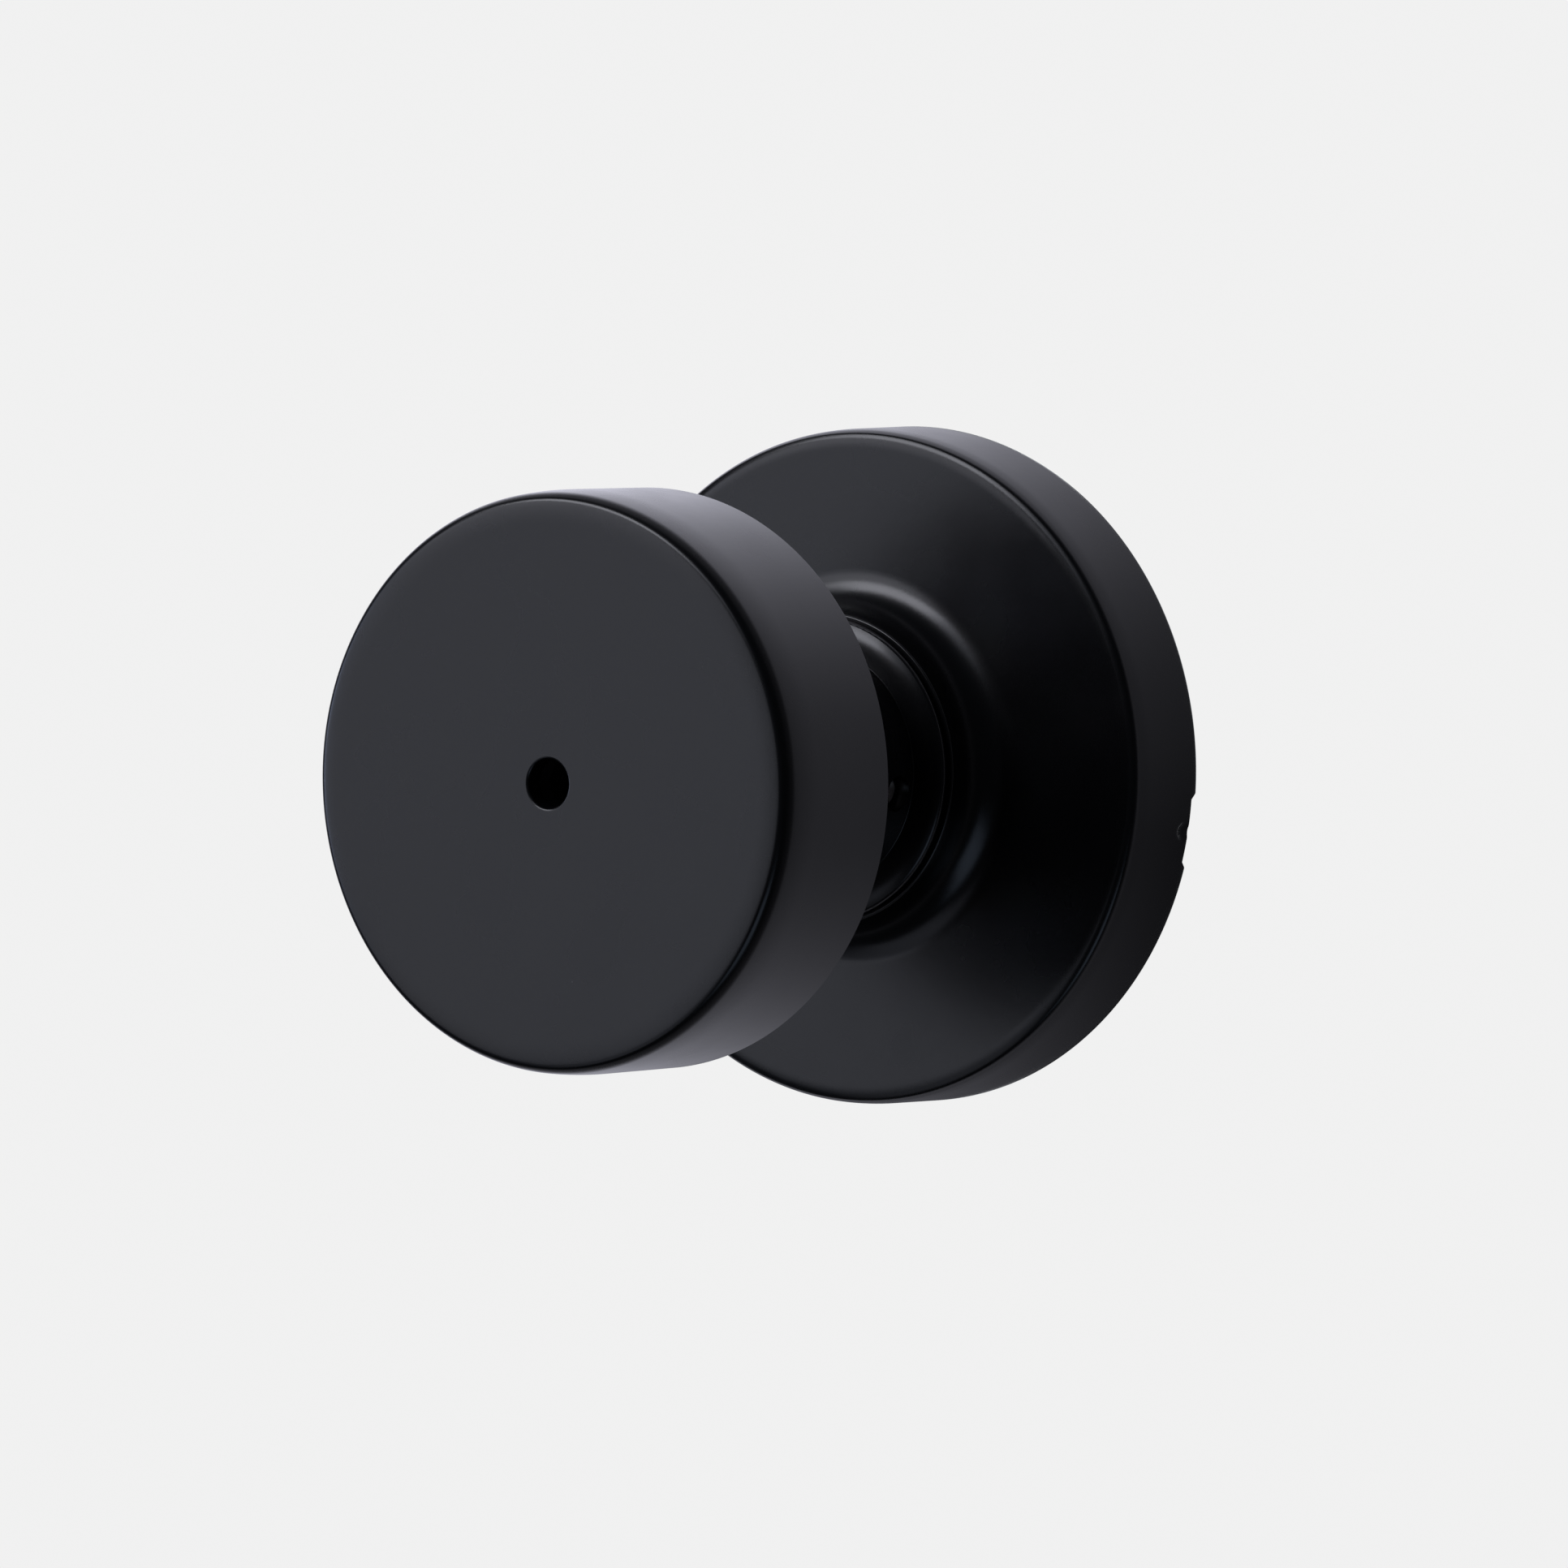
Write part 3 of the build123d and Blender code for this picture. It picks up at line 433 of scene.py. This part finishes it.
KNOB_EDGE = ((32.0, 6.5), (2.5, 35.0), (0.8, 84.0), (20.0, 90.0))
KNOB_WALL = 26.0
KNOB_FACE_THICKNESS = 2.0
KNOB_INNER_FILLET = 0.5
KNOB_REAR_FILLETS = (0.15, 0.25)  # inside and outside the wall
KNOB_SPACING = 2.5
PINHOLE_RADIUS = 2.35
PINHOLE_FILLETS = (0.28, 0.1)  # at the knob's face and inside it

knob_rear, knob_front = depth_span("knob_shell")
knob_radius = radius_of("knob_shell")
knob_outline = soft_edge(knob_radius, knob_front, KNOB_EDGE) + rounded([
    (PINHOLE_RADIUS, knob_front, PINHOLE_FILLETS[0]),
    (PINHOLE_RADIUS, knob_front - KNOB_FACE_THICKNESS, PINHOLE_FILLETS[1]),
    (KNOB_WALL, knob_front - KNOB_FACE_THICKNESS, KNOB_INNER_FILLET),
    (KNOB_WALL, knob_rear, KNOB_REAR_FILLETS[0]),
    (knob_radius, knob_rear, KNOB_REAR_FILLETS[1]),
], (knob_radius, knob_front), (knob_radius, knob_front))
knob = turned("knob_skin", subdivided(knob_outline, KNOB_SPACING), even_angles(AROUND), "knob",
              "black_finish")
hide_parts("knob_shell")

# ------------------------------------------------------------------ rear of the rose

POST_HEIGHT = 19.0
POST_RADIUS = 4.2
POST_FLANGE = (4.8, 1.5)  # radius and thickness
POST_SPIGOT = 3.0
POST_STAKE = 0.5
POST_TIP_FILLET = 0.5
FLANGE_FILLETS = (0.15, 0.1)  # at its rear and at the liner
POST_AROUND = 48
AXIS_RADIUS = 0.02  # a ring mesh stays this far off its axis
THREAD_RADIUS = 1.65
THREAD_DEPTH = 0.3
THREAD_PITCH = 0.7
THREAD_LENGTH = 14.0
THREAD_BOTTOM = 0.9
THREAD_STEPS = 6  # in each pitch
THREAD_MARGIN = 0.01


def thread(radius, depth, angle):
    """Cuts a helical groove into the wall of a post's hole."""
    if radius > THREAD_RADIUS + THREAD_MARGIN or depth > hole_end - THREAD_BOTTOM:
        return radius, depth
    turn = (depth / THREAD_PITCH + angle / (2 * math.pi)) % 1.0
    return radius + THREAD_DEPTH * (1 - abs(2 * turn - 1)), depth


post_tip, post_head = depth_span("upper_post")
hole_end = post_tip + THREAD_LENGTH
flange_radius, flange_thickness = POST_FLANGE
hole_wall = [Vector((THREAD_RADIUS, post_tip + THREAD_PITCH * step / THREAD_STEPS))
             for step in range(1, int(THREAD_LENGTH * THREAD_STEPS / THREAD_PITCH))]
post_outline = rounded([
    (POST_RADIUS, post_tip, POST_TIP_FILLET),
    (POST_RADIUS, -flange_thickness, FLANGE_FILLETS[0]),
    (flange_radius, -flange_thickness, FLANGE_FILLETS[0]),
    (flange_radius, 0.0, FLANGE_FILLETS[1]),
    (POST_SPIGOT, 0.0, 0),
    (POST_SPIGOT, post_head - POST_STAKE, 0),
    (POST_SPIGOT + POST_STAKE, post_head, 0),
    (AXIS_RADIUS, post_head, 0),
    (AXIS_RADIUS, hole_end, 0),
    (THREAD_RADIUS, hole_end, 0),
], (THREAD_RADIUS, post_tip), (THREAD_RADIUS, post_tip), steps=6)
post_outline += hole_wall[::-1] + [Vector((THREAD_RADIUS + THREAD_DEPTH, post_tip))]
for label, height in (("upper_post", POST_HEIGHT), ("lower_post", -POST_HEIGHT)):
    post = turned(label + "_skin", post_outline, even_angles(POST_AROUND), "rose",
                  "zinc_plated_steel", thread, height)
    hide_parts(label)

RIB_ANGLES = (0, 40, 140, 180, 220, 320)
RIB_START = 13.8
RIB_END = 24.6
RIB_WIDTH = 1.6
RIB_HEIGHT = 1.5
RIB_CREST = 0.4
RIB_CREST_STEPS = 6
RIB_ROOT = 0.3
RIB_DRAFT = 0.1
RIB_FOOT = (0.3, 0.25)  # width and height of the slope at its foot
# Places along a rib and its height there, as parts of the whole.
RIB_RISE = ((0.0, 0.25), (0.04, 0.7), (0.10, 1.0), (0.5, 0.92), (0.92, 1.0), (1.0, 1.0))


def ribs():
    """Cast ribs with drafted sides and rounded crests, between the liner's hub and its spigot."""
    shape = bmesh.new()
    foot_width, foot_height = RIB_FOOT
    side_half = RIB_WIDTH / 2
    foot_half, crest_half = side_half + foot_width, side_half - RIB_DRAFT
    section = [(-foot_half, -RIB_ROOT), (-foot_half, 0.0), (-side_half, foot_height)]
    for step in range(RIB_CREST_STEPS + 1):
        angle = math.pi - math.pi * step / RIB_CREST_STEPS
        section.append((crest_half * math.cos(angle),
                        RIB_HEIGHT - RIB_CREST + RIB_CREST * math.sin(angle)))
    section += [(side_half, foot_height), (foot_half, 0.0), (foot_half, -RIB_ROOT)]
    for degrees in RIB_ANGLES:
        angle = math.radians(degrees)
        out, side = (math.cos(angle), math.sin(angle)), (-math.sin(angle), math.cos(angle))
        rings = []
        for along, rise in RIB_RISE:
            radius = RIB_START + (RIB_END - RIB_START) * along
            rings.append([shape.verts.new(((radius * out[0] + across * side[0]) * MM,
                                           (height * rise if height > 0 else height) * MM,
                                           (radius * out[1] + across * side[1]) * MM))
                          for across, height in section])
        for ring, after in zip(rings, rings[1:]):
            for step in range(len(ring)):
                follow = (step + 1) % len(ring)
                shape.faces.new((ring[step], ring[follow], after[follow], after[step]))
        shape.faces.new(rings[0])
        shape.faces.new(rings[-1][::-1])
    finished("liner_ribs", shape, "rose", "zinc_casting")


ribs()

# ------------------------------------------------------------------ camera

AZIMUTH = math.radians(35.34)
ELEVATION = math.radians(2.60)
ROLL = math.radians(0.46)
DISTANCE = 1.2
LENS = 279.06
SENSOR = 36.0
NEAREST = 0.05
AIM_RIGHT = -0.01293  # the picture's middle, in metres from the knob's axis at the door
AIM_UP = -0.0020

look = Vector((-math.sin(AZIMUTH) * math.cos(ELEVATION),
               math.cos(AZIMUTH) * math.cos(ELEVATION), -math.sin(ELEVATION)))
level_right = Vector((math.cos(AZIMUTH), math.sin(AZIMUTH), 0))
level_up = level_right.cross(look)
right = math.cos(ROLL) * level_right + math.sin(ROLL) * level_up
up = -math.sin(ROLL) * level_right + math.cos(ROLL) * level_up
camera_data = bpy.data.cameras.new("camera")
camera_data.lens = LENS
camera_data.sensor_width = SENSOR
camera_data.clip_start = NEAREST
camera = bpy.data.objects.new("camera", camera_data)
scene.collection.objects.link(camera)
place = AIM_RIGHT * right + AIM_UP * up - DISTANCE * look
turn = Matrix((right, up, -look)).transposed().to_4x4()
camera.matrix_world = Matrix.Translation(place) @ turn
scene.camera = camera

# ------------------------------------------------------------------ floor, world and lights

BACKGROUND = 0.877
ROOM = (0.02, 0.022, 0.026, 1)
FLOOR_RADIUS = 1.3
FLOOR_HEIGHT = -0.28
FLOOR_COLOUR = (0.14, 0.14, 0.14, 1)
FLOOR_GLOW = 0.70
LIGHT_CENTRE = Vector((0, -0.03, 0))
LIGHT_DISTANCE = 0.75
REAR_COLOUR = (0.92, 0.95, 1.0)

# The card's radii in metres: its hole round the rose, where the shade ends, where its glow
# starts to fade, where it has faded, and its rim.
CARD_HOLE = 0.0334
CARD_BRIGHT = 0.065
CARD_FADE = 0.082
CARD_DIM = 0.135
CARD_REACH = 0.60
CARD_FAR = 0.2  # what is left of the glow once it has faded
CARD_SHADE = (0.75, 0.15)  # the depth of the shade below and above the knob
CARD_SHADE_ENDS = (-0.2, 0.8)  # the upward directions between which it changes
CARD_LEFT_RIGHT = (1.38, 0.33)  # the glow's strength to the left and to the right
CARD_LEFT_RIGHT_ENDS = (-0.75, 0.95)  # the rightward directions between which it changes
CARD_BOTTOM_TOP = (0.65, 1.25)
CARD_COLOUR = (0.87, 0.87, 1.0, 1)

# Only the camera sees the floor, because its reflection would flatten the black finish.
floor_mesh = bpy.data.meshes.new("floor")
shape = bmesh.new()
bmesh.ops.create_circle(shape, cap_ends=True, segments=96, radius=FLOOR_RADIUS)
shape.to_mesh(floor_mesh)
shape.free()
floor = bpy.data.objects.new("floor", floor_mesh)
floor.location = (0, 0, FLOOR_HEIGHT)
floor.visible_glossy = False
floor.visible_diffuse = False
scene.collection.objects.link(floor)
paint = Shader("floor_paint")
paint.bsdf.inputs["Base Color"].default_value = FLOOR_COLOUR
paint.bsdf.inputs["Roughness"].default_value = 0.8
paint.bsdf.inputs["Emission Color"].default_value = (1, 1, 1, 1)
paint.bsdf.inputs["Emission Strength"].default_value = FLOOR_GLOW
floor_mesh.materials.append(paint.material)


def door_card():
    """A glowing card in the door's plane, which only the knob's reflections see.

    It is dim far out, shaded close round the rose and most of all below it, and brighter to the
    upper left than to the lower right. Its directions go from -1 to 1, straight left or down to
    straight right or up.
    """
    shape = bmesh.new()
    bmesh.ops.create_circle(shape, cap_ends=False, segments=128, radius=CARD_REACH)
    bmesh.ops.create_circle(shape, cap_ends=False, segments=128, radius=CARD_HOLE)
    bmesh.ops.bridge_loops(shape, edges=shape.edges)
    bmesh.ops.rotate(shape, verts=shape.verts, matrix=Matrix.Rotation(math.pi / 2, 3, "X"))
    mesh = bpy.data.meshes.new("door_card")
    shape.to_mesh(mesh)
    shape.free()
    card = bpy.data.objects.new("door_card", mesh)
    scene.collection.objects.link(card)
    card.visible_camera = False
    glow = Shader("door_glow")
    split = glow.node("SeparateXYZ")
    glow.join(glow.position(), split.inputs["Vector"])
    across, above = split.outputs["X"], split.outputs["Z"]
    squares = [glow.calculate("MULTIPLY", offset, offset) for offset in (across, above)]
    away = glow.calculate("SQRT", glow.calculate("ADD", *squares))
    rightward = glow.calculate("DIVIDE", across, away)
    upward = glow.calculate("DIVIDE", above, away)
    shade = glow.calculate("MULTIPLY", glow.remap(away, CARD_HOLE, CARD_BRIGHT, 1.0, 0.0),
                           glow.remap(upward, *CARD_SHADE_ENDS, *CARD_SHADE))
    level = glow.calculate("SUBTRACT", 1.0, shade)
    for factor in (glow.remap(away, CARD_FADE, CARD_DIM, 1.0, CARD_FAR),
                   glow.remap(rightward, *CARD_LEFT_RIGHT_ENDS, *CARD_LEFT_RIGHT),
                   glow.remap(upward, -1.0, 1.0, *CARD_BOTTOM_TOP)):
        level = glow.calculate("MULTIPLY", level, factor)
    emission = glow.node("Emission")
    emission.inputs["Color"].default_value = CARD_COLOUR
    glow.join(level, emission.inputs["Strength"])
    glow.join(emission.outputs["Emission"], glow.tree.nodes["Material Output"].inputs["Surface"])
    mesh.materials.append(glow.material)


door_card()

# The camera sees a pale backdrop, and everything else is lit by a dim room.
world = bpy.data.worlds.new("studio")
scene.world = world
world.use_nodes = True
tree = world.node_tree
rays = tree.nodes.new("ShaderNodeLightPath")
seen = tree.nodes["Background"]
seen.inputs["Color"].default_value = (BACKGROUND, BACKGROUND, BACKGROUND, 1)
dim = tree.nodes.new("ShaderNodeBackground")
dim.inputs["Color"].default_value = ROOM
choice = tree.nodes.new("ShaderNodeMixShader")
tree.links.new(rays.outputs["Is Camera Ray"], choice.inputs["Fac"])
tree.links.new(dim.outputs["Background"], choice.inputs[1])
tree.links.new(seen.outputs["Background"], choice.inputs[2])
tree.links.new(choice.outputs["Shader"], tree.nodes["World Output"].inputs["Surface"])


def softbox(name, azimuth, elevation, width, height, radiance, colour):
    """A soft light that faces the knob. Azimuth 0 is in front of its face and 90 on its right."""
    light = bpy.data.lights.new(name, "AREA")
    light.shape = "RECTANGLE"
    light.size = width
    light.size_y = height
    light.energy = radiance * math.pi * width * height
    light.color = colour
    lamp = bpy.data.objects.new(name, light)
    a, e = math.radians(azimuth), math.radians(elevation)
    direction = Vector((math.sin(a) * math.cos(e), -math.cos(a) * math.cos(e), math.sin(e)))
    lamp.location = LIGHT_CENTRE + direction * LIGHT_DISTANCE
    lamp.rotation_euler = direction.to_track_quat("Z", "Y").to_euler()
    lamp.visible_camera = False
    scene.collection.objects.link(lamp)


softbox("key", -33, 38, 0.44, 0.29, 5.6, (0.90, 0.91, 1.0))
softbox("key_right", -8, 32, 0.30, 0.26, 0.85, (0.82, 0.86, 1.0))
softbox("key_low", -37, 15, 0.34, 0.20, 2.0, (0.88, 0.89, 1.0))
softbox("key_left", -60, 0, 0.20, 0.20, 3.3, (0.64, 0.73, 1.0))
softbox("front", -32, -4, 0.24, 0.28, 0.96, (0.84, 0.87, 1.0))
softbox("front_left", -47, -4, 0.16, 0.26, 0.72, (0.90, 0.90, 0.96))
softbox("front_right", -14, 0, 0.22, 0.30, 0.30, (0.84, 0.88, 1.0))
softbox("front_low", -25, -31, 0.40, 0.50, 0.36, (0.80, 0.84, 1.0))
softbox("low_fill", 44, -42, 0.46, 0.38, 0.60, (0.62, 0.76, 1.0))
softbox("rear", 180, 5, 1.00, 0.80, 0.70, REAR_COLOUR)
softbox("rear_left", -150, 35, 0.40, 0.30, 2.6, REAR_COLOUR)
softbox("rear_right", 150, 20, 0.40, 0.30, 1.8, REAR_COLOUR)
